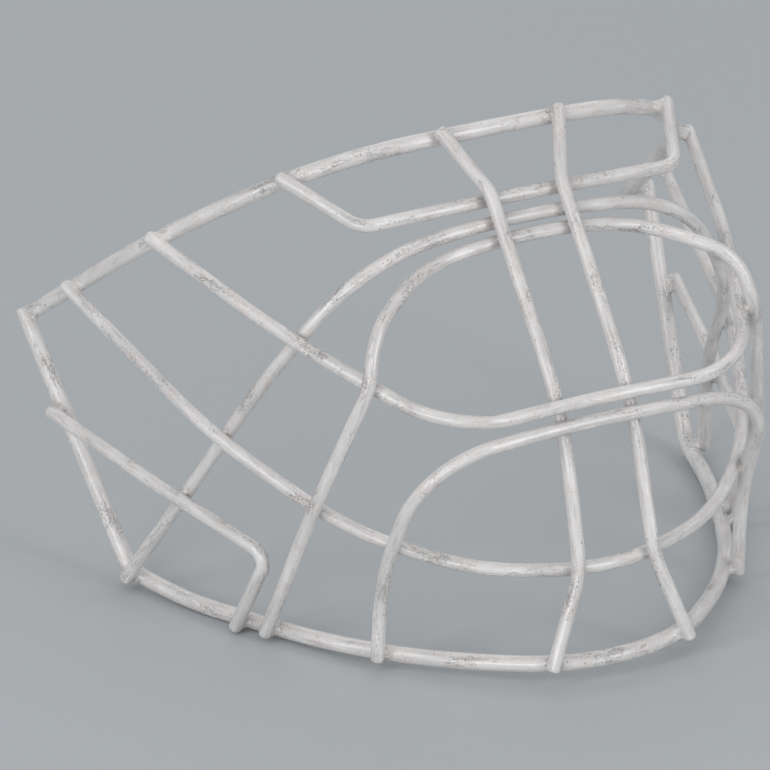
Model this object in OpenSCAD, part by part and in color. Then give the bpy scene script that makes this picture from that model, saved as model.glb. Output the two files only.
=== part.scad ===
// Wire face cage of a hockey goalie's mask, as it stands on a table.
// Twelve bent steel wires cross each other and are welded where they touch.
// X runs to the wearer's left, Y to the back of the head and Z up.
// The origin is under the middle of the cage, on the plane that it stands on.

/* [Wire] */
// Diameter of the crown arch and of the lower rim, paint included
rim_wire = 6; // [5:0.1:7]
// Diameter of the bars that cross the face, paint included
bar_wire = 5; // [4:0.1:6]
// Space left between two wires where they cross and are welded
weld_gap = 0.2; // [0.1:0.05:0.4]
// How much narrower the weld metal of a crossing is than a bar, on each side
weld_inset = 0.4; // [0.3:0.05:0.7]
// Chamfer on the cut end of each wire
end_chamfer = 0.8; // [0.2:0.1:1.4]

/* [Whole cage] */
// Width across the rear ends of the crown arch
cage_width = 264; // [245:1:285]
// Depth from the chin to the rear ends of the crown arch
cage_depth = 236; // [220:1:255]
// Height from the lower rim to the top of the crown arch
cage_height = 173; // [160:1:190]

/* [Centre bars] */
// Spacing of the two centre bars in front of the nose
centre_spacing = 29; // [25:0.5:36]
// Spacing of the centre bars behind the visor bar
centre_brow_spacing = 27.5; // [24:0.5:32]
// Spacing of the centre bars on the crown arch
centre_top_spacing = 46.5; // [38:0.5:56]
// Spacing of the feet of the centre bars on the chin
centre_foot_spacing = 54; // [44:0.5:64]

/* [Seats on the crown arch] */
// Width across the ends of the visor bar
visor_seat_width = 154; // [144:1:164]
// How far the cheek bar's ends lie inside the arch's rear ends
cheek_seat_inset = 22.75; // [19:0.25:26]
// How far the chin bar's ends lie inside the arch's rear ends
chin_seat_inset = 8.75; // [6.5:0.25:10.5]

/* [Seats on the lower rim] */
// Distance of the mouth bar's feet from the front of the rim
mouth_foot_back = 65.5; // [58:0.5:74]
// Distance of the eye bar's feet from the front of the rim
eye_foot_back = 104.5; // [98:0.5:112]
// Distance of the jaw bars' feet from the front of the rim
jaw_foot_back = 116; // [112:0.5:124]
// How far in front of the rim's rear corner the brow bar's feet stand
brow_foot_inset = 3.5; // [3:0.25:8]
// Height of the jaw bars' rear ends on the side of the rim
jaw_seat_height = 54.5; // [48:0.5:64]

/* [Bends] */
// Radius of the bend of a centre bar over the visor bar
centre_bend = 16; // [12:1:30]
// Radius of the two bends of the visor bar
visor_bend = 8; // [6:0.5:14]
// Radius of the bend that turns a jaw bar down
jaw_bend = 5.5; // [4:0.5:12]
// Radius of the rim's corner below the ear
jaw_corner_bend = 12; // [9:0.5:16]
// Radius of the rim round the chin
chin_bend = 58; // [50:1:62]
// Radius of the cheek bar beside the nose
nose_bend = 37; // [30:1:40]
// Radius of the mouth bar's upper corners
mouth_bend = 32; // [28:1:34]

/* [Cut ends] */
// How far a bar runs past the middle of the crown arch
crown_overhang = 1.25; // [0.75:0.25:4]
// How far the eye, mouth and brow bars run past the middle of the lower rim
foot_overhang = 1.5; // [1:0.25:4]
// How far a jaw bar runs past the middle of the lower rim
jaw_overhang = 2.75; // [1.5:0.25:6]
// How far a centre bar's foot runs past the middle of the rim
chin_overhang = 0.5; // [0:0.25:3]
// How far the side of the rim runs past the middle of the arch
side_overhang = 1.25; // [0.75:0.25:4]

/* [Hidden] */
paint = "gainsboro";
weld_grey = "darkgray";

// Faces round a wire, and the coarsest steps along a bend
wire_sides = 12;
bend_step_angle = 10;
bend_step_length = 9;
// Share of a segment that a bend may use, beside another bend and beside an end
shared_segment = 0.5;
end_segment = 0.98;
// A corner that turns less than this, in degrees, stays as it is
least_turn = 0.1;
// Two steps more nearly parallel than this have no single nearest place
nearly_parallel = 0.000001;
// Faces round the weld metal and round the wires cut out of it
weld_sides = 48;

// Four points of the form as it was set out, and its stretch to the size of the cage
set_out_ear = [132, 115, 80.5];
set_out_crown = [0, -11, 175.5];
set_out_chin = [0, -121, 6.5];
set_out_corner = [121.25, 49, 2.5];
stretch = [
    cage_width / 2 / set_out_ear[0],
    cage_depth / (set_out_ear[1] - set_out_chin[1]),
    cage_height / (set_out_crown[2] - set_out_corner[2])];
function form(x, y, z) = [x * stretch[0], y * stretch[1], z * stretch[2]];

// The form is part of a long egg, whose middle is far behind the face
egg_middle = [0, 330, 0];
egg_flatness = [1.2, 7, 3.6];
function unit(v) = v / norm(v);
function outward(p) = unit([for (i = [0:2]) (p[i] - egg_middle[i]) / egg_flatness[i]]);

// Stand-off of a wire's middle from the form: the rims lie inside it, and the bars are laid over it in layers
bar_step = bar_wire + weld_gap;
rim_inside = -rim_wire / 2;
rim_outside = rim_wire / 2 + 1.5 * weld_gap;
under = -bar_step / 2;
level = 0;
over = bar_step / 2;
over_bar = 1.5 * bar_step;
over_rim = over + 1.5 * weld_gap;
// Stand-offs between two layers, where a bar passes askew over others
over_askew = 0.7 * bar_step;
over_wide = 0.9 * bar_step;
over_jaw = 1.28 * bar_step;

// A soft bend grows with the cage
function soft(r) = r * (stretch[0] + stretch[1] + stretch[2]) / 3;
// A route is a list of [point on the form, stand-off, bend radius]
function corner(route, i) = route[i][0] + outward(route[i][0]) * route[i][1];
function corners(route) = [for (i = [0:len(route) - 1]) corner(route, i)];
function radii(route) = [for (r = route) r[2]];
function mirrored(p) = [-p[0], p[1], p[2]];
// The other half of a wire that is alike on both sides, without the point on the middle plane
function other_half(list) = [for (i = [len(list) - 2:-1:0]) list[i]];

// Replace each corner by an arc, in short straight steps
function turn_at(p, i) = acos(max(-1, min(1, unit(p[i] - p[i - 1]) * unit(p[i + 1] - p[i]))));
function room(p, i) = min(
    norm(p[i] - p[i - 1]) * (i == 1 ? end_segment : shared_segment),
    norm(p[i + 1] - p[i]) * (i == len(p) - 2 ? end_segment : shared_segment));
function arc(p, i, r) =
    let (turn = turn_at(p, i))
    turn < least_turn || r <= 0 ? [p[i]] :
    let (
        reach = min(r * tan(turn / 2), room(p, i)),
        radius = reach / tan(turn / 2),
        along = unit(p[i] - p[i - 1]),
        next = unit(p[i + 1] - p[i]),
        inward = unit(next - along * (along * next)),
        start = p[i] - along * reach,
        steps = ceil(max(turn / bend_step_angle, radius * turn * PI / 180 / bend_step_length)))
    [for (k = [0:steps]) let (a = turn * k / steps) start + along * radius * sin(a) + inward * radius * (1 - cos(a))];
function rounded(p, r) = [
    p[0],
    for (i = [1:len(p) - 2]) each arc(p, i, r[i]),
    p[len(p) - 1]];

// Both halves of a wire whose route ends on the middle plane
function whole(p) = concat(p, [for (q = other_half(p)) mirrored(q)]);
function whole_radii(r) = concat(r, other_half(r));
// Run an end on past its seat
function longer(p, first, last) = [for (i = [0:len(p) - 1])
    i == 0 ? p[0] + unit(p[0] - p[1]) * first :
    i == len(p) - 1 && last > 0 ? p[i] + unit(p[i] - p[i - 1]) * last : p[i]];
function wire_path(route, first) = rounded(whole(longer(corners(route), first, 0)), whole_radii(radii(route)));
function bar_path(route, first, last) = rounded(longer(corners(route), first, last), radii(route));
// The curve of a rim on the form itself, on the wearer's left
function form_curve(route) =
    let (p = [for (r = route) r[0]])
    [for (q = rounded(whole(p), whole_radii(radii(route)))) if (q[0] >= 0) q];
// First place where a curve passes a value on axis k
function place_on(curve, k, value) =
    let (hits = [for (i = [1:len(curve) - 1])
        if ((curve[i - 1][k] - value) * (curve[i][k] - value) <= 0 && curve[i - 1][k] != curve[i][k]) i])
    let (a = curve[hits[0] - 1], b = curve[hits[0]])
    a + (b - a) * (value - a[k]) / (b[k] - a[k]);

// Routes, from the rear end on the wearer's left to the middle of the face
arch_route = [
    [form(set_out_ear[0], set_out_ear[1], set_out_ear[2]), rim_inside, 0],
    [form(110.5, 40, 136), rim_inside, soft(140)],
    [form(67, -4.5, 171), rim_inside, soft(75)],
    [form(0, set_out_crown[1], set_out_crown[2]), rim_inside, soft(300)]];
rim_front = form(0, set_out_chin[1], set_out_chin[2]);
rim_route = [
    [form(129.5, 106.5, 86.5), rim_outside, 0],
    [form(set_out_corner[0], set_out_corner[1], set_out_corner[2]), rim_inside, jaw_corner_bend],
    [form(112.5, 18, 0.5), rim_inside, soft(190)],
    [form(76.5, -58, 2), rim_inside, soft(190)],
    [rim_front, rim_inside, chin_bend]];
arch_curve = form_curve(arch_route);
rim_curve = form_curve(rim_route);
function on_arch(width) = place_on(arch_curve, 0, width / 2);
// The rim's lower run stays below its front, and its rise to the ear doesn't
lower_run = [for (q = rim_curve) if (q[2] < rim_front[2]) q];
function on_rim(back) = place_on(lower_run, 1, rim_front[1] + back);
function before_corner(inset) = place_on(lower_run, 1, set_out_corner[1] * stretch[1] - inset);
function on_side(height) = place_on(rim_curve, 2, height);

visor_route = [
    [on_arch(visor_seat_width), over_rim, 0],
    [form(65.5, -27, 153.5), under, visor_bend],
    [form(0, -28, 155), under, soft(400)]];
brow_route = [
    [before_corner(brow_foot_inset), over_rim, 0],
    [form(104.6, 14.2, 55.8), level, soft(400)],
    [form(98.1, -15.7, 98.7), under, soft(100)],
    [form(64.7, -32, 142.9), under, soft(60)],
    [form(0, -33.5, 150.5), under, soft(300)]];
eye_route = [
    [on_rim(eye_foot_back), over_rim, 0],
    [form(85.5, -36.8, 55), over_bar, soft(60)],
    [form(72.9, -53.1, 103.6), over_bar, soft(20)],
    [form(71.4, -51.7, 124.6), over, soft(25)],
    [form(44.4, -34.9, 138.4), under, soft(50)],
    [form(0, -38.9, 145.1), under, soft(135)]];
cheek_route = [
    [on_arch(cage_width - 2 * cheek_seat_inset), over_rim, 0],
    [form(89.2, -17.5, 114), over, soft(400)],
    [form(58.4, -82.2, 95.2), over, nose_bend],
    [form(0, -78.6, 94.7), over, soft(300)]];
chin_route = [
    [on_arch(cage_width - 2 * chin_seat_inset), over_rim, 0],
    [form(103.7, 3.5, 70.7), over_wide, soft(180)],
    [form(81.1, -50.4, 49.5), level, soft(160)],
    [form(48.2, -83.1, 40), under, soft(80)],
    [form(0, -97.7, 36.4), under, soft(75)]];
mouth_foot = on_rim(mouth_foot_back);
mouth_route = [
    [mouth_foot, over_rim, 0],
    [mouth_foot + form(-2, -0.2, 32.5), over_wide, soft(90)],
    [form(68.5, -81.3, 84.5), over, mouth_bend],
    [form(0, -83.6, 89.9), over, soft(400)]];
function centre_point(spacing, y, z) = [spacing / 2, y * stretch[1], z * stretch[2]];
centre_route = [
    [on_arch(centre_top_spacing), over_rim, 0],
    [centre_point(centre_brow_spacing, -26.5, 155.4), over_askew, centre_bend],
    [centre_point(centre_spacing, -82.7, 93.5), under, soft(120)],
    [centre_point(centre_spacing, -93, 38), over, soft(40)],
    [place_on(rim_curve, 0, centre_foot_spacing / 2), over_rim, 0]];
// The side of the rim comes outward as it rises, and the jaw bar lies on it
rim_rise = (jaw_seat_height - rim_route[1][0][2]) / (rim_route[0][0][2] - rim_route[1][0][2]);
over_side = rim_inside + (rim_outside - rim_inside) * rim_rise + (rim_wire + bar_wire) / 2 + weld_gap;
jaw_route = [
    [on_side(jaw_seat_height), over_side, 0],
    [form(111.9, 33.5, 44), over_jaw, soft(200)],
    [form(94, -19, 32.5), over_jaw, jaw_bend],
    [on_rim(jaw_foot_back), over_rim, 0]];

arch_path = wire_path(arch_route, 0);
rim_path = wire_path(rim_route, side_overhang);
visor_path = wire_path(visor_route, crown_overhang);
brow_path = wire_path(brow_route, foot_overhang);
eye_path = wire_path(eye_route, foot_overhang);
cheek_path = wire_path(cheek_route, crown_overhang);
chin_path = wire_path(chin_route, crown_overhang);
mouth_path = wire_path(mouth_route, foot_overhang);
centre_path = bar_path(centre_route, crown_overhang, chin_overhang);
jaw_path = bar_path(jaw_route, jaw_overhang, jaw_overhang);

// Sweep a round wire along a path, with a chamfer at both cut ends
function with_chamfers(p) =
    let (n = len(p) - 1)
    [p[0], p[0] + unit(p[1] - p[0]) * end_chamfer,
        for (i = [1:n - 1]) p[i],
        p[n] + unit(p[n - 1] - p[n]) * end_chamfer, p[n]];
function headings(p) = [for (i = [0:len(p) - 1])
    i == 0 ? unit(p[1] - p[0]) :
    i == len(p) - 1 ? unit(p[i] - p[i - 1]) : unit(unit(p[i] - p[i - 1]) + unit(p[i + 1] - p[i]))];
function across(heading, v) = unit(v - heading * (heading * v));
// A direction square to the wire, carried along it without twist
function carried(h) = [for (i = 0, v = across(h[0], [0, 1, 1]); i < len(h);
    i = i + 1, v = i < len(h) ? across(h[i], v) : v) v];
function wire_points(path, d) =
    let (p = with_chamfers(path), h = headings(p), v = carried(h), n = len(p) - 1)
    [for (i = [0:n]) let (r = d / 2 - (i == 0 || i == n ? end_chamfer : 0), w = cross(h[i], v[i]))
        for (k = [0:wire_sides - 1]) let (a = 360 * k / wire_sides) p[i] + r * (cos(a) * v[i] + sin(a) * w)];
module wire(path, d) {
    points = wire_points(path, d);
    rings = len(points) / wire_sides;
    last = (rings - 1) * wire_sides;
    walls = [for (i = [0:rings - 2]) for (k = [0:wire_sides - 1])
        let (a = i * wire_sides + k, b = i * wire_sides + (k + 1) % wire_sides)
        each [[a, a + wire_sides, b], [b, a + wire_sides, b + wire_sides]]];
    caps = [[for (k = [0:wire_sides - 1]) k], [for (k = [wire_sides - 1:-1:0]) last + k]];
    polyhedron(points, concat(walls, caps), convexity = 8);
}

// The plane under the cage, and the middle of its depth
every_point = concat(
    wire_points(arch_path, rim_wire), wire_points(rim_path, rim_wire), wire_points(brow_path, bar_wire),
    wire_points(eye_path, bar_wire), wire_points(mouth_path, bar_wire), wire_points(chin_path, bar_wire),
    wire_points(centre_path, bar_wire), wire_points(jaw_path, bar_wire));
all_y = [for (p = every_point) p[1]];
all_z = [for (p = every_point) p[2]];
to_origin = [0, -(min(all_y) + max(all_y)) / 2, -min(all_z)];

// Where two wires cross: the nearest places of two paths and their directions there
function within(t) = max(0, min(1, t));
function nearest_on(a, b, c, d) =
    let (u = b - a, v = d - c, w = a - c, uu = u * u, uv = u * v, vv = v * v, uw = u * w, vw = v * w)
    let (s = within((uv * vw - vv * uw) / max(uu * vv - uv * uv, nearly_parallel)))
    let (t = within((uv * s + vw) / vv))
    let (s2 = within((uv * t - uw) / uu), p = a + u * s2, q = c + v * t)
    [norm(p - q), p, q, unit(u), unit(v)];
function crossing(one, other) =
    let (all = [for (i = [1:len(one) - 1]) for (j = [1:len(other) - 1])
        nearest_on(one[i - 1], one[i], other[j - 1], other[j])])
    let (least = min([for (x = all) x[0]]))
    [for (x = all) if (x[0] == least) x][0];
function left_half(path) = [for (i = [0:floor(len(path) / 2)]) path[i]];
function first_points(path, n) = [for (i = [0:n - 1]) path[i]];
function last_points(path, n) = [for (i = [len(path) - n:len(path) - 1]) path[i]];

module rod(middle, direction, length, d) {
    tilt = acos(direction[2]);
    spin = atan2(direction[1], direction[0]);
    translate(middle) rotate([0, tilt, spin]) cylinder(h = length, d = d, center = true, $fn = weld_sides);
}
// Weld metal between the two wires of one crossing, cut to both of them
module weld(one, other, one_d, other_d) {
    c = crossing(one, other);
    weld_width = bar_wire - 2 * weld_inset;
    difference() {
        rod((c[1] + c[2]) / 2, unit(c[2] - c[1]), c[0], weld_width);
        rod(c[1], c[3], 2 * rim_wire, one_d);
        rod(c[2], c[4], 2 * rim_wire, other_d);
    }
}
module both_sides() {
    for (side = [0, 1]) mirror([side, 0, 0]) children();
}

arch_half = left_half(arch_path);
rim_half = left_half(rim_path);
visor_half = left_half(visor_path);
brow_half = left_half(brow_path);
eye_half = left_half(eye_path);
cheek_half = left_half(cheek_path);
chin_half = left_half(chin_path);
mouth_half = left_half(mouth_path);

module crown_arch() {
    color(paint) translate(to_origin) wire(arch_path, rim_wire);
}
module lower_rim() {
    color(paint) translate(to_origin) wire(rim_path, rim_wire);
}
module visor_bar() {
    color(paint) translate(to_origin) wire(visor_path, bar_wire);
}
module brow_bar() {
    color(paint) translate(to_origin) wire(brow_path, bar_wire);
}
module eye_bar() {
    color(paint) translate(to_origin) wire(eye_path, bar_wire);
}
module cheek_bar() {
    color(paint) translate(to_origin) wire(cheek_path, bar_wire);
}
module mouth_bar() {
    color(paint) translate(to_origin) wire(mouth_path, bar_wire);
}
module chin_bar() {
    color(paint) translate(to_origin) wire(chin_path, bar_wire);
}
module centre_bar_left() {
    color(paint) translate(to_origin) wire(centre_path, bar_wire);
}
module centre_bar_right() {
    mirror([1, 0, 0]) centre_bar_left();
}
module jaw_bar_left() {
    color(paint) translate(to_origin) wire(jaw_path, bar_wire);
}
module jaw_bar_right() {
    mirror([1, 0, 0]) jaw_bar_left();
}
module crown_welds() {
    color(weld_grey) translate(to_origin) both_sides() {
        weld(centre_path, arch_half, bar_wire, rim_wire);
        weld(visor_half, arch_half, bar_wire, rim_wire);
        weld(cheek_half, arch_half, bar_wire, rim_wire);
        weld(chin_half, arch_half, bar_wire, rim_wire);
        weld(rim_half, arch_half, rim_wire, rim_wire);
    }
}
module rim_welds() {
    color(weld_grey) translate(to_origin) both_sides() {
        weld(centre_path, rim_half, bar_wire, rim_wire);
        weld(mouth_half, rim_half, bar_wire, rim_wire);
        weld(eye_half, rim_half, bar_wire, rim_wire);
        weld(brow_half, rim_half, bar_wire, rim_wire);
        weld(last_points(jaw_path, 2), rim_half, bar_wire, rim_wire);
        weld(first_points(jaw_path, 3), rim_half, bar_wire, rim_wire);
    }
}
module brow_welds() {
    color(weld_grey) translate(to_origin) both_sides() {
        weld(centre_path, visor_half, bar_wire, bar_wire);
        weld(centre_path, brow_half, bar_wire, bar_wire);
        weld(centre_path, eye_half, bar_wire, bar_wire);
    }
}
module nose_welds() {
    color(weld_grey) translate(to_origin) both_sides() {
        weld(cheek_half, centre_path, bar_wire, bar_wire);
        weld(mouth_half, centre_path, bar_wire, bar_wire);
    }
}
module cheek_welds() {
    color(weld_grey) translate(to_origin) both_sides() {
        weld(cheek_half, brow_half, bar_wire, bar_wire);
        weld(eye_half, cheek_half, bar_wire, bar_wire);
    }
}
module mouth_welds() {
    color(weld_grey) translate(to_origin) both_sides() {
        weld(chin_half, brow_half, bar_wire, bar_wire);
        weld(eye_half, chin_half, bar_wire, bar_wire);
        weld(mouth_half, chin_half, bar_wire, bar_wire);
    }
}
module chin_welds() {
    color(weld_grey) translate(to_origin) both_sides() weld(centre_path, chin_half, bar_wire, bar_wire);
}
module jaw_welds() {
    color(weld_grey) translate(to_origin) both_sides() weld(jaw_path, brow_half, bar_wire, bar_wire);
}

crown_arch();
lower_rim();
visor_bar();
brow_bar();
eye_bar();
cheek_bar();
mouth_bar();
chin_bar();
centre_bar_left();
centre_bar_right();
jaw_bar_left();
jaw_bar_right();
crown_welds();
rim_welds();
brow_welds();
nose_welds();
cheek_welds();
mouth_welds();
chin_welds();
jaw_welds();
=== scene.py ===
"""Looks of a hockey goalie's face cage: round steel wire under a worn off-white powder coat.

Each wire of the frame is drawn again as a smooth round wire along its own centre line, and each
weld as the fillet of metal and coat that fills the corner between two wires.
"""
import math

import bmesh
import bpy
import numpy as np
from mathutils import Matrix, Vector, noise


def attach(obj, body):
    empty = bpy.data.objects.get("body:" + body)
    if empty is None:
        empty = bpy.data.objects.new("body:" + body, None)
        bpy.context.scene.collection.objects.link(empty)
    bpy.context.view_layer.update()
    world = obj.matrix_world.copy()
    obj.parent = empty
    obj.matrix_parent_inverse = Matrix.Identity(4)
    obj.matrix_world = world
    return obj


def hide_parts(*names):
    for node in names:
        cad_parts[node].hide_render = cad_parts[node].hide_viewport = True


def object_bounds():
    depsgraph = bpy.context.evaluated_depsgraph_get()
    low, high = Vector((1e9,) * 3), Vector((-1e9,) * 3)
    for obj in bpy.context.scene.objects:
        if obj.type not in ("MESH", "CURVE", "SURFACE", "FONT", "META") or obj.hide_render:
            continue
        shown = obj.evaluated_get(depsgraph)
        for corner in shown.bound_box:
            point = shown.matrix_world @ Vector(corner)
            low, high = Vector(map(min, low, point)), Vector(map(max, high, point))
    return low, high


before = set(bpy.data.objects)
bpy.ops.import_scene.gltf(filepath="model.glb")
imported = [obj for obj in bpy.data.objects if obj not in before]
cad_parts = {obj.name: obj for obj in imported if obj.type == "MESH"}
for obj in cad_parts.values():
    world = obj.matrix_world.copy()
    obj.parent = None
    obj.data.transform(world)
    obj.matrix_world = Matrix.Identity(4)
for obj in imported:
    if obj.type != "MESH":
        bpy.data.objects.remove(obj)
cad_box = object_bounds()
MM = 0.001

# The CAD wires' meshes: corners round a wire, how close two corners are one, how alike the normals
# of one plane are, and how much a round end's corners may differ in their distance from its middle
CAD_SIDES = 12
SAME_CORNER = 0.001 * MM
SAME_PLANE = 0.999999
ROUND_ENOUGH = 1.05

# Wire, as the mesh of a round bar under its coat
RING_SPACING = 0.6 * MM
RING_SIDES = 24
CURVE_STEPS = 16
COAT_RIPPLE = 0.05 * MM
RIPPLE_LENGTH = 9 * MM
# The value of the ripple's noise that leaves the coat at the wire's own radius
RIPPLE_LEVEL = 0.6

# Cut ends: how far back they are rounded, and how much of the radius stays flat. A foot on the lower
# rim has been ground round, and the other ends were sheared off square
GROUND_END = (1.7 * MM, 0.35)
SHEARED_END = (0.6 * MM, 0.82)
GROUND_WIRES = ("brow_bar", "eye_bar", "mouth_bar", "jaw_bar_left", "jaw_bar_right")
# How much is dressed off a wire's first and last end, so that it lies flush where it is welded, and
# how close to the new end a point of the old line may lie
DRESSED_WIRES = {
    "crown_arch": (1.7 * MM, 1.7 * MM),
    "visor_bar": (0, 0.6 * MM),
    "cheek_bar": (0.6 * MM, 0.6 * MM),
    "chin_bar": (0.6 * MM, 0.6 * MM),
    "centre_bar_right": (0.4 * MM, 0)}
DRESSED_STEP = 0.5 * MM

# Weld fillets: the radius of the hollow between two wires, by the group that they belong to
FILLET = {
    "crown_welds": 2.5 * MM,
    "rim_welds": 2.8 * MM,
    "brow_welds": 1.2 * MM,
    "nose_welds": 1.2 * MM,
    "cheek_welds": 1.4 * MM,
    "mouth_welds": 1.4 * MM,
    "chin_welds": 1.2 * MM,
    "jaw_welds": 2.0 * MM}
# The hollow is never smaller than this many times the gap between the wires, so that metal bridges it
HOLLOW_TO_GAP = 2.6
# How much thicker a group was laid on the side towards the middle of the face
FILLET_LEAN = {"crown_welds": 0.65}
# Lumps round a weld, as a share of the hollow, and how fast they change round it and from weld to weld
FILLET_LUMPS = 0.45
LUMPS_ROUND = 1.4
LUMPS_APART = 7.1
# Grains of the rough skin. They grow to their full height where the metal is this deep
FILLET_GRAIN = 1.0 * MM
FILLET_ROUGH = 0.12 * MM
ROUGH_DEPTH = 0.45 * MM
# Where no metal lies on a wire, the fillet's skin dives this far into it
FILLET_SINK = 0.15 * MM
# A fillet's furthest reach from its middle. It thins out over the last part, one in this many
FILLET_REACH = 9.5 * MM
FILLET_FADE = 3
# Past this climb in degrees, a ray from the middle runs into a wire, and it stops inside
WIRE_CLIMB = 66
WIRE_REACH = 2.2 * MM
# Near a wire's cut end the hollow shrinks over this length, to this share
END_TAPER = 1.5 * MM
END_SHARE = 0.3
# How much of a cut end's rounding the fillet follows
CUT_SHARE = 0.8
# The rays from a fillet's middle, and the climb of the first and last ring of them in degrees
FILLET_SPOKES = 64
FILLET_RINGS = 37
STEEPEST_RAY = 80
# Each ray starts this short and is stretched this many times, by this share of what is left to the skin
SHORTEST_RAY = 0.02 * MM
RAY_STEPS = 26
RAY_SHARE = 0.9
# A wire's line is drawn in fine steps to find where two wires meet, within this distance of a weld
FINE_STEP = 0.25 * MM
MEETING_REACH = 9 * MM
# The ball rolls on a shorter stretch of the line, on one of every so many points
STRETCH_REACH = 2 * FILLET_REACH
STRETCH_STEP = 5
# The noise seeds kept for each group of welds
SEEDS_PER_GROUP = 20

# How far from a weld the coat is greyed, partly by stain and partly by painted shade, and how far
# inside the CAD's box the cage is kept
WELD_STAIN_AND_SHADE_RADIUS = 8 * MM
BOX_MARGIN = 0.02 * MM

# The coat's patterns, by the size of what repeats
CLOUD = 24 * MM
BLUSH = 6 * MM
STREAK = 1.5 * MM
PATCH = 6 * MM
SPECK = 0.85 * MM
STRAY_SPECK_SPACING = 6 * MM
SCRATCH = 1.5 * MM
ORANGE_PEEL = 2.6 * MM
PAPER_TOOTH = 3 * MM
# Grit in a powder coat is 0.1 to 0.3 mm across, which is too fine to show. It is drawn this coarse
GRIT = 0.7 * MM
# On a wire, the patterns of wear, and the streaks that are partly painted reflection, are wrapped round
# this radius, and squeezed along the wire by this much, so that they are drawn out along it
WRAP_RADIUS = 2.6 * MM
PATCH_SQUEEZE = 0.3
STREAK_SQUEEZE = 0.12

# The studio, in metres
FLOOR_SIZE = 14
FLOOR_COLOUR = "#B5B9BC"
AIR_COLOUR = "#F4F6F8"
AIR_STRENGTH = 0.6
LAMP_DISTANCE = 2.4
# Each soft box: its turn from the camera and its climb in degrees, its width and height in metres,
# and its power in watts
SOFT_BOXES = {
    "left_soft_box": (-50, 28, 0.7, 1.7, 11),
    "right_soft_box": (50, 22, 0.7, 1.7, 14),
    "low_soft_box": (-15, 12, 1.5, 0.7, 14),
    "back_soft_box": (180, 42, 2.0, 1.2, 6)}

# The photograph's camera, in the frame of the part: metres, degrees, and millimetres of lens and film
CAMERA_PLACE = (-0.92207, -1.61321, 0.86941)
CAMERA_AZIMUTH = -28.767
CAMERA_ELEVATION = 23.288
CAMERA_LENS = 261.2
CAMERA_SENSOR = 36
CAGE_MIDDLE = Vector((0, 0, 0.09))


def unit(v):
    return v / np.linalg.norm(v)


# Centre lines, read off the rings of the CAD wires

def flat_patches(bm):
    """Groups of faces that lie in one plane and touch."""
    left = set(bm.faces)
    while left:
        patch = [left.pop()]
        for face in patch:
            for edge in face.edges:
                for other in edge.link_faces:
                    if other in left and other.normal.dot(face.normal) > SAME_PLANE:
                        left.remove(other)
                        patch.append(other)
        yield patch


def end_rings(bm):
    """The corners of the two cut ends of a wire."""
    ends = []
    for patch in flat_patches(bm):
        corners = {v for face in patch for v in face.verts}
        if len(corners) != CAD_SIDES:
            continue
        centre = sum((v.co for v in corners), Vector()) / CAD_SIDES
        reach = [(v.co - centre).length for v in corners]
        if max(reach) < ROUND_ENOUGH * min(reach):
            ends.append(corners)
    return ends


def cad_mesh(node):
    """A CAD node's mesh with each corner once."""
    bm = bmesh.new()
    bm.from_mesh(node.data)
    bmesh.ops.remove_doubles(bm, verts=bm.verts, dist=SAME_CORNER)
    bm.normal_update()
    return bm


def centre_line(node):
    """Points along the middle of a CAD wire, from its upper end or the one at +x, and its radius."""
    bm = cad_mesh(node)
    ring, before, middles, radius = end_rings(bm)[0], set(), [], 0
    while ring:
        places = np.array([v.co for v in ring])
        middles.append(places.mean(0))
        radius = max(radius, np.linalg.norm(places - middles[-1], axis=1).mean())
        following = {e.other_vert(v) for v in ring for e in v.link_edges} - ring - before
        ring, before = following, ring
    bm.free()
    if middles[0][[0, 2]].sum() < middles[-1][[0, 2]].sum():
        middles.reverse()
    return np.array(middles), float(radius)


def dressed(points, first, last):
    """A centre line with its ends cut back by these lengths."""
    for length in (first, last):
        along = np.append(0, np.cumsum(np.linalg.norm(np.diff(points, axis=0), axis=1)))
        start = [np.interp(length, along, points[:, axis]) for axis in range(3)]
        points = np.vstack([start, points[along > length + DRESSED_STEP]])[::-1]
    return points


def headings(points):
    """The wire's direction at each point, led by the longer of its two steps."""
    steps = np.diff(points, axis=0)
    weights = steps * np.linalg.norm(steps, axis=1)[:, None]
    both = np.vstack([weights[:1], weights[:-1] + weights[1:], weights[-1:]])
    return both / np.linalg.norm(both, axis=1)[:, None]


def bezier_curve(name, points):
    """A curve object whose one spline passes smoothly through the points."""
    curve = bpy.data.curves.new(name, "CURVE")
    curve.dimensions = "3D"
    spline = curve.splines.new("BEZIER")
    spline.bezier_points.add(len(points) - 1)
    spline.resolution_u = CURVE_STEPS
    ways = headings(points)
    lengths = np.linalg.norm(np.diff(points, axis=0), axis=1)
    for i, knot in enumerate(spline.bezier_points):
        knot.handle_left_type = knot.handle_right_type = "FREE"
        knot.co = points[i]
        knot.handle_left = points[i] - ways[i] * lengths[max(i - 1, 0)] / 3
        knot.handle_right = points[i] + ways[i] * lengths[min(i, len(lengths) - 1)] / 3
    return new_object(name, curve)


def new_object(name, data):
    thing = bpy.data.objects.new(name, data)
    bpy.context.scene.collection.objects.link(thing)
    return thing


# Node trees

def add(tree, kind, inputs=None, **settings):
    """Adds a node with its settings, its plain values and its links."""
    node = tree.nodes.new(kind)
    for name, value in settings.items():
        setattr(node, name, value)
    for key, value in (inputs or {}).items():
        if isinstance(value, bpy.types.NodeSocket):
            tree.links.new(value, node.inputs[key])
        else:
            node.inputs[key].default_value = value
    return node


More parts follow.
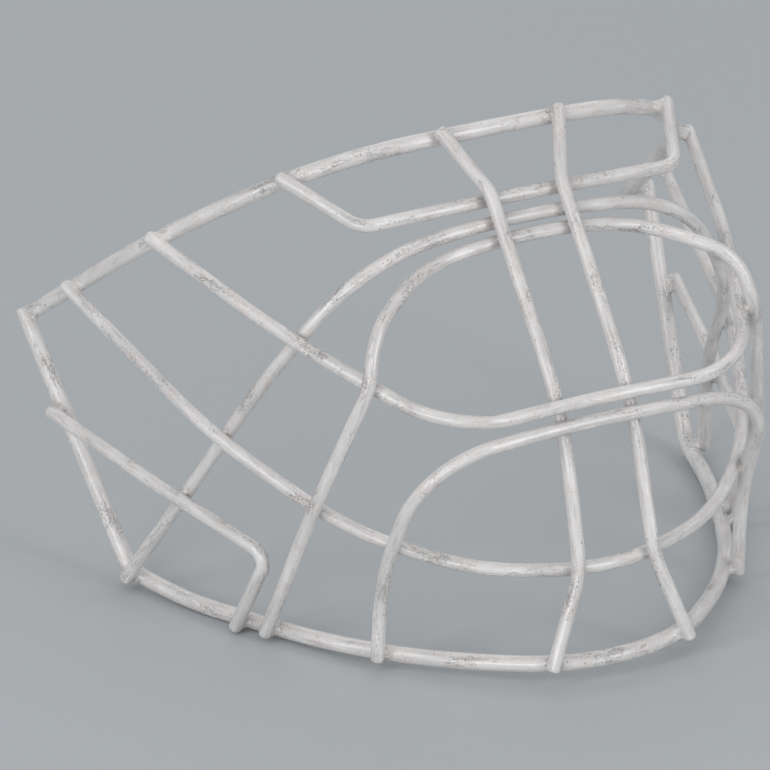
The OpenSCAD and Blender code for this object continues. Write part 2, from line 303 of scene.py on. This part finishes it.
def round_wire_tree():
    """Geometry nodes that sweep a coated wire with rounded cut ends along a curve."""
    tree = bpy.data.node_groups.new("round_wire", "GeometryNodeTree")
    tree.interface.new_socket("Geometry", in_out="OUTPUT", socket_type="NodeSocketGeometry")
    for kind, names in (
            ("Geometry", ("Centre line",)),
            ("Float", ("Radius", "Ring spacing", "End rounding", "End flat", "Coat ripple",
                       "Ripple length")),
            ("Int", ("Sides", "Seed")),
            ("Material", ("Coat",))):
        for name in names:
            tree.interface.new_socket(name, in_out="INPUT", socket_type="NodeSocket" + kind)
    given = add(tree, "NodeGroupInput").outputs

    # The radius of each ring: full along the wire, and an arc down to the flat of a cut end
    rings = add(tree, "GeometryNodeResampleCurve", {
        "Curve": given["Centre line"], "Length": given["Ring spacing"]}, mode="LENGTH")
    along = add(tree, "GeometryNodeSplineParameter")
    whole = add(tree, "GeometryNodeSplineLength")
    to_far_end = add(tree, "ShaderNodeMath", {
        0: whole.outputs["Length"], 1: along.outputs["Length"]}, operation="SUBTRACT")
    to_end = add(tree, "ShaderNodeMath", {
        0: along.outputs["Length"], 1: to_far_end.outputs[0]}, operation="MINIMUM")
    share = add(tree, "ShaderNodeMath", {
        0: to_end.outputs[0], 1: given["End rounding"]}, operation="DIVIDE", use_clamp=True)
    rest = add(tree, "ShaderNodeMath", {0: 1, 1: share.outputs[0]}, operation="SUBTRACT")
    squared = add(tree, "ShaderNodeMath", {
        0: rest.outputs[0], 1: rest.outputs[0]}, operation="MULTIPLY")
    under_root = add(tree, "ShaderNodeMath", {0: 1, 1: squared.outputs[0]}, operation="SUBTRACT")
    dome = add(tree, "ShaderNodeMath", {0: under_root.outputs[0]}, operation="SQRT")
    swell = add(tree, "ShaderNodeMapRange", {
        "Value": dome.outputs[0], "To Min": given["End flat"], "To Max": 1.0})
    ring_radius = add(tree, "ShaderNodeMath", {
        0: swell.outputs["Result"], 1: given["Radius"]}, operation="MULTIPLY")
    profile = add(tree, "GeometryNodeCurvePrimitiveCircle", {
        "Resolution": given["Sides"], "Radius": 1.0})

    # Each point keeps its length along the wire and its place round it, for wear and for streaks,
    # partly painted reflection, that run along
    counted = add(tree, "GeometryNodeStoreNamedAttribute", {
        "Geometry": rings.outputs["Curve"], "Name": "along_wire", "Value": along.outputs["Length"]},
        data_type="FLOAT", domain="POINT")
    on_circle = add(tree, "GeometryNodeInputPosition")
    turned = add(tree, "GeometryNodeStoreNamedAttribute", {
        "Geometry": profile.outputs["Curve"], "Name": "round_wire", "Value": on_circle.outputs[0]},
        data_type="FLOAT_VECTOR", domain="POINT")
    bar = add(tree, "GeometryNodeCurveToMesh", {
        "Curve": counted.outputs["Geometry"], "Profile Curve": turned.outputs["Geometry"],
        "Scale": ring_radius.outputs[0], "Fill Caps": True})

    # The coat lies a little thicker here and thinner there
    place = add(tree, "GeometryNodeInputPosition")
    ripple_scale = add(tree, "ShaderNodeMath", {0: 1, 1: given["Ripple length"]}, operation="DIVIDE")
    ripple = add(tree, "ShaderNodeTexNoise", {
        "Vector": place.outputs[0], "W": given["Seed"], "Scale": ripple_scale.outputs[0],
        "Detail": 2.0}, noise_dimensions="4D")
    level = add(tree, "ShaderNodeMath", {0: ripple.outputs[0], 1: RIPPLE_LEVEL}, operation="SUBTRACT")
    height = add(tree, "ShaderNodeMath", {
        0: level.outputs[0], 1: given["Coat ripple"]}, operation="MULTIPLY")
    outward = add(tree, "GeometryNodeInputNormal")
    shift = add(tree, "ShaderNodeVectorMath", {
        0: outward.outputs[0], "Scale": height.outputs[0]}, operation="SCALE")
    coated = add(tree, "GeometryNodeSetPosition", {
        "Geometry": bar.outputs["Mesh"], "Offset": shift.outputs[0]})
    smooth = add(tree, "GeometryNodeSetShadeSmooth", {0: coated.outputs[0]})
    real = add(tree, "GeometryNodeRealizeInstances", {0: smooth.outputs[0]})
    painted = add(tree, "GeometryNodeSetMaterial", {
        "Geometry": real.outputs[0], "Material": given["Coat"]})
    add(tree, "NodeGroupOutput", {0: painted.outputs[0]})
    return tree


def round_wire(tree, name, points, radius, end, seed, coat):
    """One wire of the cage as a plain mesh."""
    line = bezier_curve(name + "_line", points)
    sweep = line.modifiers.new("round_wire", "NODES")
    sweep.node_group = tree
    values = {
        "Radius": radius, "Ring spacing": RING_SPACING, "End rounding": end[0], "End flat": end[1],
        "Coat ripple": COAT_RIPPLE, "Ripple length": RIPPLE_LENGTH, "Sides": RING_SIDES,
        "Seed": seed, "Coat": coat}
    for socket in tree.interface.items_tree:
        if socket.in_out == "INPUT" and socket.name in values:
            sweep[socket.identifier] = values[socket.name]
    shown = bpy.context.evaluated_depsgraph_get()
    mesh = bpy.data.meshes.new_from_object(line.evaluated_get(shown))
    mesh.name = name
    bpy.data.objects.remove(line)
    return new_object(name, mesh)


# Weld fillets

def loose_middles(node):
    """The middle of each separate solid of a CAD node."""
    bm = cad_mesh(node)
    left, middles = set(bm.verts), []
    while left:
        solid = [left.pop()]
        for v in solid:
            for e in v.link_edges:
                if e.other_vert(v) in left:
                    left.remove(e.other_vert(v))
                    solid.append(e.other_vert(v))
        places = np.array([v.co for v in solid])
        middles.append((places.min(0) + places.max(0)) / 2)
    bm.free()
    return sorted(middles, key=tuple)


def fine_line(points):
    """Close points along the smooth curve that a wire follows."""
    ways = headings(points)
    out = []
    for i in range(len(points) - 1):
        length = np.linalg.norm(points[i + 1] - points[i])
        t = np.linspace(0, 1, max(2, math.ceil(length / FINE_STEP)), endpoint=False)[:, None]
        a, d = points[i], points[i + 1]
        b, c = a + ways[i] * length / 3, d - ways[i + 1] * length / 3
        out.append((1 - t) ** 3 * a + 3 * (1 - t) ** 2 * t * b + 3 * (1 - t) * t ** 2 * c + t ** 3 * d)
    return np.vstack(out + [points[-1:]])


def meeting(middle, wires):
    """The two wires that a weld joins, nearest first, and their nearest places."""
    pair = sorted(wires, key=lambda wire: (
        np.linalg.norm(wire["fine"] - middle, axis=1).min() - wire["radius"]))[:2]
    one, other = (wire["fine"][np.linalg.norm(wire["fine"] - middle, axis=1) < MEETING_REACH]
                  for wire in pair)
    apart = np.linalg.norm(one[:, None] - other[None], axis=2)
    i, j = np.unravel_index(apart.argmin(), apart.shape)
    return pair, one[i], other[j]


def near_stretch(wire, centre):
    """The part of a wire round a weld as straight steps, and the planes of the cut ends in it.

    Past a cut end the steps run on, because the plane cuts them.
    """
    line = wire["fine"][::STRETCH_STEP]
    near = np.flatnonzero(np.linalg.norm(line - centre, axis=1) < STRETCH_REACH)
    first, last = near[0], near[-1]
    part, cuts = line[first:last + 1], []
    if first == 0:
        way = unit(line[0] - line[1])
        cuts.append((wire["fine"][0], way))
        part = np.vstack([line[0] + way * STRETCH_REACH, part])
    if last == len(line) - 1:
        way = unit(line[-1] - line[-2])
        cuts.append((wire["fine"][-1], way))
        part = np.vstack([part, line[-1] + way * STRETCH_REACH])
    return part, cuts


def above_wire(places, stretch, cuts, radius, rounding):
    """How far places lie outside a wire with rounded cut ends."""
    start, step = stretch[:-1], np.diff(stretch, axis=0)
    offset = places[:, None] - start[None]
    share = np.clip((offset * step).sum(2) / (step * step).sum(1), 0, 1)
    height = np.linalg.norm(offset - share[..., None] * step, axis=2).min(1) - radius
    for end, way in cuts:
        side, past = height + rounding, (places - end) @ way + rounding
        height = (np.minimum(np.maximum(side, past), 0) - rounding
                  + np.hypot(np.maximum(side, 0), np.maximum(past, 0)))
    return height


def fillet(bm, middle, wires, hollow, lean, seed):
    """Adds the metal and coat that a ball rolled along both wires would leave in their corner.

    It is a closed skin, found along rays from the middle of the crossing. Where it leaves the corner
    it dives into the wires. The hollow is the radius of the ball.
    """
    pair, on_one, on_other = meeting(middle, wires)
    gap = np.linalg.norm(on_other - on_one) - pair[0]["radius"] - pair[1]["radius"]
    normal = unit(on_other - on_one)
    centre = on_one + normal * (pair[0]["radius"] + gap / 2)
    first = unit(np.cross(normal, unit(pair[0]["fine"][-1] - pair[0]["fine"][0])))
    second = np.cross(normal, first)
    stretches = [(*near_stretch(wire, centre), wire["radius"], CUT_SHARE * wire["end"][0])
                 for wire in pair]
    cut_ends = [cut for _, cuts, _, _ in stretches for cut in cuts]

    turns = np.linspace(0, 2 * math.pi, FILLET_SPOKES, endpoint=False)
    climbs = np.radians(np.linspace(-STEEPEST_RAY, STEEPEST_RAY, FILLET_RINGS))
    climb, turn = (grid.ravel() for grid in np.meshgrid(climbs, turns, indexing="ij"))
    rays = (np.cos(climb)[:, None] * (np.cos(turn)[:, None] * first + np.sin(turn)[:, None] * second)
            + np.sin(climb)[:, None] * normal)

    lumps = np.array([noise.noise(Vector((
        LUMPS_ROUND * math.cos(t), LUMPS_ROUND * math.sin(t), LUMPS_APART * seed))) for t in turns])
    inward = Vector((-math.copysign(1, centre[0]), 0, 0))
    thick_side = np.cos(turns - math.atan2(inward @ Vector(second), inward @ Vector(first)))
    growth = np.tile(FILLET_LUMPS * lumps + lean * thick_side, FILLET_RINGS)
    size = np.maximum(hollow * (1 + growth), HOLLOW_TO_GAP * gap)

    furthest = np.where(np.abs(climb) < math.radians(WIRE_CLIMB), FILLET_REACH, WIRE_REACH)
    out = np.full(len(rays), SHORTEST_RAY)
    for _ in range(RAY_STEPS):
        places = centre + rays * out[:, None]
        one, other = (above_wire(places, *stretch) for stretch in stretches)
        room = size * np.clip(FILLET_FADE - FILLET_FADE * out / FILLET_REACH, 0, 1)
        for end, way in cut_ends:
            taper = np.clip((end - places) @ way / END_TAPER, END_SHARE, 1)
            room = np.minimum(room, size * taper)
        lower = np.minimum(one, other)
        corner = (np.maximum(room, lower)
                  - np.hypot(np.maximum(room - one, 0), np.maximum(room - other, 0)))
        filled = lower - corner
        sunk = FILLET_SINK * (1 - np.clip(filled / FILLET_SINK, 0, 1))
        out = np.clip(out - RAY_SHARE * (corner + sunk), SHORTEST_RAY, furthest)

    grain = np.array([noise.noise(Vector(p / FILLET_GRAIN)) for p in centre + rays * out[:, None]])
    out = out + FILLET_ROUGH * grain * np.clip(filled / ROUGH_DEPTH, 0, 1)
    close_skin(bm, centre + rays * out[:, None])


def close_skin(bm, places):
    """Adds a closed skin through rings of places, from one pole to the other."""
    skin = [bm.verts.new(place) for place in places]
    rings = [skin[k:k + FILLET_SPOKES] for k in range(0, len(skin), FILLET_SPOKES)]
    for low, high in zip(rings, rings[1:]):
        for k in range(FILLET_SPOKES):
            after = (k + 1) % FILLET_SPOKES
            bm.faces.new((low[k], low[after], high[after], high[k]))
    bm.faces.new(rings[0][::-1])
    bm.faces.new(rings[-1])


def weld_group(name, node, wires, coat, seed):
    """All the fillets of one CAD weld group as one mesh."""
    bm = bmesh.new()
    for i, middle in enumerate(loose_middles(node)):
        fillet(bm, middle, wires, FILLET[name], FILLET_LEAN.get(name, 0), seed + i)
    bmesh.ops.recalc_face_normals(bm, faces=bm.faces)
    mesh = bpy.data.meshes.new(name)
    bm.to_mesh(mesh)
    bm.free()
    mesh.shade_smooth()
    mesh.materials.append(coat)
    return new_object(name + "_fillets", mesh)


def corners_of(piece):
    """Where the points of a piece's mesh lie, one row each."""
    flat = np.empty(len(piece.data.vertices) * 3)
    piece.data.vertices.foreach_get("co", flat)
    return flat.reshape(-1, 3)


def mark_welds(piece, middles):
    """Stores how near each point of a piece lies to a weld, for its weld stain and painted shade."""
    places = corners_of(piece)
    away = np.min([np.linalg.norm(places - middle, axis=1) for middle in middles], axis=0)
    stain_and_shade = np.clip(1 - away / WELD_STAIN_AND_SHADE_RADIUS, 0, 1)
    mark = piece.data.attributes.new("weld_stain_and_shade", "FLOAT", "POINT")
    mark.data.foreach_set("value", stain_and_shade.astype(np.float32))


# Materials

def linear(hex_colour):
    """An sRGB hex colour as the linear colour that a shader takes."""
    parts = [int(hex_colour[i:i + 2], 16) / 255 for i in (1, 3, 5)]
    return [p / 12.92 if p <= 0.04045 else ((p + 0.055) / 1.055) ** 2.4 for p in parts] + [1.0]


def per_metre(size):
    """The scale of a texture whose features are this large."""
    return 1 / size


def new_material(name):
    material = bpy.data.materials.new(name)
    material.use_nodes = True
    material.node_tree.nodes.clear()
    return material, material.node_tree


def share_past(tree, *bounds):
    """The share of a mark at each place: the product of how far each pattern has passed its bounds.

    Each pattern comes with the value at which its share is 0 and the one at which it is 1.
    """
    share = None
    for pattern, none, full in bounds:
        past = add(tree, "ShaderNodeMapRange", {
            "Value": pattern, "From Min": none, "From Max": full},
            interpolation_type="SMOOTHSTEP").outputs["Result"]
        share = past if share is None else add(
            tree, "ShaderNodeMath", {0: share, 1: past}, operation="MULTIPLY").outputs[0]
    return share


def layered(tree, base, layers):
    """A base colour under layers, each with its share at each place, its strength and its colour."""
    colour = linear(base)
    for share, strength, over in layers:
        cover = add(tree, "ShaderNodeMath", {0: share, 1: strength}, operation="MULTIPLY").outputs[0]
        colour = add(tree, "ShaderNodeMix", {0: cover, 6: colour, 7: linear(over)},
                     data_type="RGBA").outputs[2]
    return colour


def along_the_wire(tree, squeeze):
    """Coordinates in metres that follow a wire, squeezed along it so that patterns are drawn out."""
    length = add(tree, "ShaderNodeAttribute", attribute_name="along_wire").outputs["Fac"]
    turned = add(tree, "ShaderNodeAttribute", attribute_name="round_wire").outputs["Vector"]
    ring = add(tree, "ShaderNodeVectorMath", {0: turned, "Scale": WRAP_RADIUS}, operation="SCALE")
    along = add(tree, "ShaderNodeMath", {0: length, 1: squeeze}, operation="MULTIPLY")
    line = add(tree, "ShaderNodeCombineXYZ", {"Z": along.outputs[0]})
    return add(tree, "ShaderNodeVectorMath", {
        0: ring.outputs[0], 1: line.outputs[0]}, operation="ADD").outputs[0]


def powder_coated_steel(name, fresh, worn, stain_and_shade, chips, runs_along):
    """Powder coat baked on steel wire: a gloss that draws the light into long streaks, broken by a
    fine orange peel and by grit in the powder, clouded by handling, and scratched and pitted in grey
    patches that run along the wire, where pucks and sticks struck it."""
    material, tree = new_material(name)
    place = add(tree, "ShaderNodeTexCoord").outputs["Object"]
    patch_place = along_the_wire(tree, PATCH_SQUEEZE) if runs_along else place
    streak_place = along_the_wire(tree, STREAK_SQUEEZE) if runs_along else place
    clouds, blush, streaks, patches, scratch_field, peel, grit = (
        add(tree, "ShaderNodeTexNoise", {
            "Vector": vector, "Scale": per_metre(size), **character}).outputs["Fac"]
        for vector, size, character in (
            (place, CLOUD, {"Detail": 3.0}),
            (place, BLUSH, {"Detail": 3.0}),
            (streak_place, STREAK, {"Detail": 4.0, "Roughness": 0.6}),
            (patch_place, PATCH, {"Detail": 3.0, "Distortion": 0.4}),
            (patch_place, SCRATCH, {"Detail": 3.0, "Distortion": 0.5}),
            (place, ORANGE_PEEL, {"Detail": 2.0}),
            (place, GRIT, {"Detail": 2.0, "Roughness": 0.7})))

    # Specks are pits in some of the cells of a fine pattern, where patches of wear lie
    cells, stray_cells = (
        add(tree, "ShaderNodeTexVoronoi", {"Vector": place, "Scale": per_metre(size)}).outputs
        for size in (SPECK, STRAY_SPECK_SPACING))
    chosen = add(tree, "ShaderNodeSeparateColor", {0: cells["Color"]}).outputs[0]
    specks = share_past(tree, (cells["Distance"], 0.55, 0.25), (grit, 0.4, 0.55), (chosen, 0.4, 0.6),
                        (patches, 0.62 - chips, 0.72 - chips))
    stray_specks = share_past(tree, (stray_cells["Distance"], 0.08, 0.03))
    rubs = share_past(tree, (patches, 0.6, 0.7), (streaks, 0.38, 0.6))

    # Scratches are thin crooked lines where a noise passes its middle value
    from_middle = add(tree, "ShaderNodeMath", {0: scratch_field, 1: 0.5}, operation="SUBTRACT")
    from_line = add(tree, "ShaderNodeMath", {0: from_middle.outputs[0]}, operation="ABSOLUTE")
    scratches = share_past(tree, (from_line.outputs[0], 0.05, 0.012), (grit, 0.42, 0.56),
                           (patches, 0.54 - chips, 0.66 - chips))

    # Weld heat and thin coat leave the corner at each crossing greyer. The darkening there is partly
    # this weld grey and partly painted shade, where shade falls in the corner between the wires
    near_weld = add(tree, "ShaderNodeAttribute", attribute_name="weld_stain_and_shade").outputs["Fac"]
    stained_and_shaded = share_past(tree, (near_weld, 0.25, 0.85), (streaks, 0.3, 0.62))

    # From the bottom up: worn coat, a faint blush, dull and bright streaks that are partly painted
    # reflection, dark and pale grit, which lies in drifts, then weld grey with painted shade round each
    # weld, and then the marks of wear
    drifts = (blush, 0.35, 0.6)
    coat = layered(tree, fresh, (
        (share_past(tree, (clouds, 0.38, 0.62)), 1.0, worn),
        (share_past(tree, (blush, 0.5, 0.72)), 0.35, "#D2BFBB"),
        # Dull and bright streaks along the wire: partly streaky coat, partly painted reflection bands
        # and highlights of the gloss
        (share_past(tree, (streaks, 0.48, 0.75)), 0.5, "#A3A09E"),
        (share_past(tree, (streaks, 0.45, 0.25)), 0.6, "#F2F1EF"),
        (share_past(tree, (grit, 0.56, 0.74), drifts), 0.42, "#8F8C8A"),
        (share_past(tree, (grit, 0.44, 0.3), drifts), 0.5, "#F4F3F1"),
        # Grey round each weld: partly weld heat and thin coat, partly painted shade in the corner
        # between the wires
        (stained_and_shaded, 0.5, stain_and_shade),
        (rubs, 0.45, "#8E8B89"),
        (scratches, 0.6, "#85817F"),
        (specks, 0.75, "#706D6B"),
        (stray_specks, 0.75, "#777472")))

    peel_bump = add(tree, "ShaderNodeBump", {
        "Height": peel, "Strength": 0.35, "Distance": 0.12 * MM}).outputs[0]
    hollows = add(tree, "ShaderNodeMath", {0: specks, 1: scratches}, operation="MAXIMUM").outputs[0]
    bump = add(tree, "ShaderNodeBump", {
        "Height": hollows, "Strength": 0.7, "Distance": 0.15 * MM, "Normal": peel_bump},
        invert=True).outputs[0]
    rough = add(tree, "ShaderNodeMapRange", {
        "Value": hollows, "To Min": 0.36, "To Max": 0.62}).outputs["Result"]
    shader = add(tree, "ShaderNodeBsdfPrincipled", {
        "Base Color": coat, "Roughness": rough, "Normal": bump, "IOR": 1.5,
        "Coat Weight": 0.65, "Coat Roughness": 0.09, "Coat Normal": peel_bump})
    add(tree, "ShaderNodeOutputMaterial", {"Surface": shader.outputs[0]})
    return material


def matt_paper(name, colour):
    """Plain seamless studio paper: matt, with the faintest tooth."""
    material, tree = new_material(name)
    place = add(tree, "ShaderNodeTexCoord").outputs["Object"]
    tooth = add(tree, "ShaderNodeTexNoise", {
        "Vector": place, "Scale": per_metre(PAPER_TOOTH)}).outputs["Fac"]
    bump = add(tree, "ShaderNodeBump", {
        "Height": tooth, "Strength": 0.05, "Distance": 0.05 * MM}).outputs[0]
    shader = add(tree, "ShaderNodeBsdfPrincipled", {
        "Base Color": linear(colour), "Roughness": 0.9, "Normal": bump})
    add(tree, "ShaderNodeOutputMaterial", {"Surface": shader.outputs[0]})
    return material


# The cage

def build_cage():
    wire_coat = powder_coated_steel(
        "powder_coated_steel_wire", fresh="#DAD7D5", worn="#CDCAC8", stain_and_shade="#A3A09E",
        chips=0.045, runs_along=True)
    weld_coat = powder_coated_steel(
        "powder_coated_weld_metal", fresh="#D6D3D1", worn="#C6C3C1", stain_and_shade="#9D9A98",
        chips=0.07, runs_along=False)
    wires = []
    for name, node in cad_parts.items():
        if name not in FILLET:
            points, radius = centre_line(node)
            points = dressed(points, *DRESSED_WIRES.get(name, (0, 0)))
            wires.append({
                "name": name, "points": points, "radius": radius, "fine": fine_line(points),
                "end": GROUND_END if name in GROUND_WIRES else SHEARED_END})
    tree, made = round_wire_tree(), []
    for seed, wire in enumerate(wires):
        piece = round_wire(tree, wire["name"] + "_wire", wire["points"], wire["radius"], wire["end"],
                           seed, wire_coat)
        made.append((piece, wire["name"], "paint"))
    for k, name in enumerate(FILLET):
        piece = weld_group(name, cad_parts[name], wires, weld_coat, SEEDS_PER_GROUP * k)
        made.append((piece, name, "weld_paint"))
    weld_middles = [middle for name in FILLET for middle in loose_middles(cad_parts[name])]
    for piece, _, _ in made:
        mark_welds(piece, weld_middles)
    keep_inside([piece for piece, _, _ in made], *cad_box)
    for piece, name, slot in made:
        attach(piece, "root")
        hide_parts(name)


def keep_inside(pieces, low, high):
    """Draws the pieces in together where smooth bends bulge past the CAD wires' straight steps."""
    places = [corners_of(piece) for piece in pieces]
    middle = (np.array(low) + np.array(high)) / 2
    reach = np.max([np.abs(p - middle).max(0) for p in places], axis=0)
    share = np.minimum(1, (np.array(high) - middle - BOX_MARGIN) / reach)
    for piece, old in zip(pieces, places):
        piece.data.vertices.foreach_set("co", (middle + (old - middle) * share).ravel())
        piece.data.update()


# The studio

def lay_floor():
    bpy.ops.mesh.primitive_plane_add(size=FLOOR_SIZE)
    floor = bpy.context.object
    floor.name = "floor"
    floor.data.materials.append(matt_paper("studio_paper", FLOOR_COLOUR))


def hang_lamp(name, turn, climb, width, height, power):
    """A soft box that faces the cage, turned this far round from the camera and raised this high."""
    round_by, up_by = math.radians(CAMERA_AZIMUTH - 90 + turn), math.radians(climb)
    way = Vector((math.cos(round_by) * math.cos(up_by), math.sin(round_by) * math.cos(up_by),
                  math.sin(up_by)))
    data = bpy.data.lights.new(name, "AREA")
    data.shape = "RECTANGLE"
    data.size, data.size_y = width, height
    data.energy = power
    lamp = new_object(name, data)
    lamp.location = CAGE_MIDDLE + way * LAMP_DISTANCE
    lamp.rotation_euler = way.to_track_quat("Z", "Y").to_euler()


def light_room():
    for name, box in SOFT_BOXES.items():
        hang_lamp(name, *box)
    world = bpy.data.worlds.new("studio_air")
    world.use_nodes = True
    world.node_tree.nodes.clear()
    glow = add(world.node_tree, "ShaderNodeBackground", {
        "Color": linear(AIR_COLOUR), "Strength": AIR_STRENGTH})
    add(world.node_tree, "ShaderNodeOutputWorld", {"Surface": glow.outputs[0]})
    bpy.context.scene.world = world


def place_camera():
    data = bpy.data.cameras.new("camera")
    data.sensor_width = CAMERA_SENSOR
    data.lens = CAMERA_LENS
    camera = new_object("camera", data)
    camera.location = CAMERA_PLACE
    camera.rotation_euler = (math.radians(90 - CAMERA_ELEVATION), 0, math.radians(CAMERA_AZIMUTH))
    bpy.context.scene.camera = camera


bpy.context.scene.view_settings.view_transform = "Standard"
build_cage()
lay_floor()
light_room()
place_camera()
